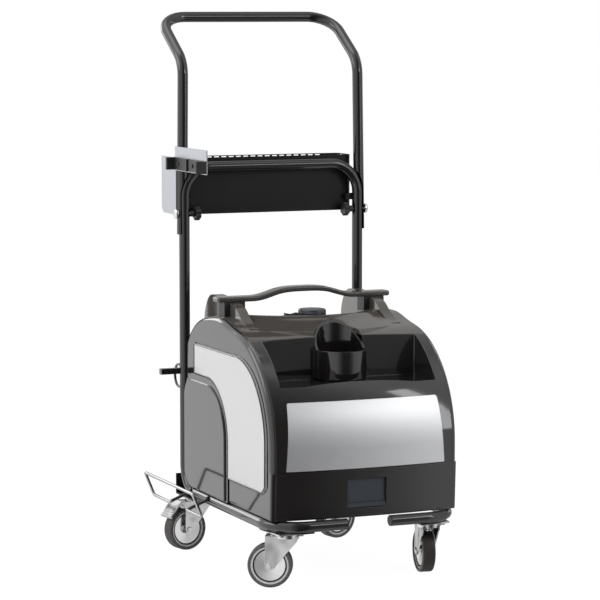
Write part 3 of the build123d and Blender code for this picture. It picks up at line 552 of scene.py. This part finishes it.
# ---- stage ----
studio = {"floor": 6.0, "paper": (0.9, 0.9, 0.9), "paperLight": 1.08, "paperShadow": 0.10,
          "peak": 2.0, "mirrored": 1.0, "spread": 0.65, "overhead": 0.22, "overheadFrom": 0.3, "overheadTo": 0.85,
          # brightness of the room's walls by bearing: 0 is the front, 90 the left, 180 behind
          "walls": ((-180, 0.5), (-157, 0.45), (-130, 0.40), (-100, 0.45), (-62, 1.0), (-38, 0.9), (-26, 0.35),
                    (-13, 0.07), (12, 0.07), (26, 0.45), (42, 1.05), (80, 1.25), (110, 1.45), (155, 1.3), (168, 0.9),
                    (180, 0.5))}
softBoxes = {
    "keyBox": {"place": (1.6, -2.9, 1.9), "aim": (0, 0, 0.4), "size": (1.3, 0.7), "power": 12.0},
    "stripBox": {"place": (2.06, -2.52, 1.6), "aim": (0.1, 0, 0.35), "size": (0.25, 2.4), "power": 9.5},
    "sideBox": {"place": (-2.9, 0.9, 2.2), "aim": (0, 0, 0.4), "size": (2.6, 1.3), "power": 26.0},
    "rimBox": {"place": (2.6, 1.2, 1.4), "aim": (0, 0, 0.4), "size": (0.7, 1.8), "power": 5.0},
    "backBox": {"place": (-1.0, 3.4, 1.5), "aim": (0, 0, 0.5), "size": (1.4, 1.0), "power": 12.0},
    "topBox": {"place": (-0.3, 0.7, 3.2), "aim": (0, 0, 0.4), "size": (1.6, 1.6), "power": 9.0},
}


def roomLevel(g, direction):
    parts = g.add("ShaderNodeSeparateXYZ", {0: direction})
    bearing = (parts.out(0) * -1.0).calc("ARCTAN2", parts.out(1) * -1.0)
    stops = [(angle / 360.0 + 0.5, (level / studio["peak"],) * 3) for angle, level in studio["walls"]]
    wall = g.add("ShaderNodeValToRGB", {0: bearing / (2.0 * math.pi) + 0.5}, stops=stops).out()
    sky = g.add("ShaderNodeMapRange", {"Value": parts.out(2), "From Min": studio["overheadFrom"],
                                       "From Max": studio["overheadTo"], "To Min": 0.0,
                                       "To Max": studio["overhead"]}, clamp=True).out()
    return wall * studio["peak"] + sky


def backdrop():
    # white where the camera sees it, with a faint shadow
    g = Graph("whitePaper")
    path = g.add("ShaderNodeLightPath")
    paper = g.add("ShaderNodeBsdfDiffuse", {"Color": (*studio["paper"], 1.0)})
    white = g.add("ShaderNodeEmission", {"Color": (1.0, 1.0, 1.0, 1.0), "Strength": studio["paperLight"]})
    seen = g.add("ShaderNodeMixShader", {0: studio["paperShadow"], 1: white.out(), 2: paper.out()})
    pick = g.add("ShaderNodeMixShader", {0: path.out("Is Camera Ray"), 1: paper.out(), 2: seen.out()})
    g.add("ShaderNodeOutputMaterial", {"Surface": pick.out()})
    return g.material


def makeFloor():
    half = studio["floor"]
    mesh = bpy.data.meshes.new("floorPaper")
    mesh.from_pydata([(-half, -half, 0), (half, -half, 0), (half, half, 0), (-half, half, 0)], [], [(0, 1, 2, 3)])
    floor = bpy.data.objects.new("floorPaper", mesh)
    bpy.context.scene.collection.objects.link(floor)
    floor.visible_glossy = False  # gloss mirrors the room, not the paper
    mesh.materials.append(backdrop())


def makeWorld():
    world = bpy.data.worlds.new("studioWorld")
    bpy.context.scene.world = world
    world.use_nodes = True
    g = Tree()
    g.tree = world.node_tree
    g.tree.nodes.clear()
    path = g.add("ShaderNodeLightPath")
    straight = path.out("Is Camera Ray").calc("MAXIMUM", path.out("Is Transmission Ray"))
    glossy = path.out("Is Glossy Ray")
    room = roomLevel(g, g.add("ShaderNodeTexCoord").out("Generated"))
    amount = glossy * studio["mirrored"] + (1.0 - glossy) * studio["spread"]
    level = straight + room * amount * (1.0 - straight)
    back = g.add("ShaderNodeBackground", {"Color": (1.0, 1.0, 1.0, 1.0), "Strength": level})
    g.add("ShaderNodeOutputWorld", {"Surface": back.out()})


def softBox(name, place, aim, size, power):
    lamp = bpy.data.lights.new(name, "AREA")
    lamp.shape, lamp.size, lamp.size_y, lamp.energy = "RECTANGLE", size[0], size[1], power
    obj = bpy.data.objects.new(name, lamp)
    bpy.context.scene.collection.objects.link(obj)
    obj.location = place
    obj.rotation_euler = (Vector(aim) - Vector(place)).to_track_quat("-Z", "Y").to_euler()


# ---- camera ----
# degrees and metres; the place is from the floor point under the handle's pivots, with pivotBack as their depth
viewpoint = {"turn": 22.75, "tilt": 6.07, "place": (-1.9966, -4.6736, 1.0304), "pivotBack": 0.227,
             "focal": 2774.0, "frame": 600.0, "farEnd": 50}


def makeCamera():
    pivot = joints["handle_fold"]["pos_m"]
    shift = Vector((pivot[0], pivot[1] - viewpoint["pivotBack"], 0.0))
    turn, tilt = math.radians(viewpoint["turn"]), math.radians(viewpoint["tilt"])
    camera = bpy.data.cameras.new("mainCamera")
    camera.sensor_fit = "HORIZONTAL"
    camera.angle = 2 * math.atan(viewpoint["frame"] / 2 / viewpoint["focal"])
    camera.clip_end = viewpoint["farEnd"]
    obj = bpy.data.objects.new("mainCamera", camera)
    bpy.context.scene.collection.objects.link(obj)
    obj.location = Vector(viewpoint["place"]) + shift
    look = Vector((math.sin(turn) * math.cos(tilt), math.cos(turn) * math.cos(tilt), -math.sin(tilt)))
    obj.rotation_euler = look.to_track_quat("-Z", "Y").to_euler()
    bpy.context.scene.camera = obj


makeFloor()
makeWorld()
for boxName, box in softBoxes.items():
    softBox(boxName, **box)
makeCamera()
bpy.context.scene.view_settings.view_transform = "Standard"
print("stage set")
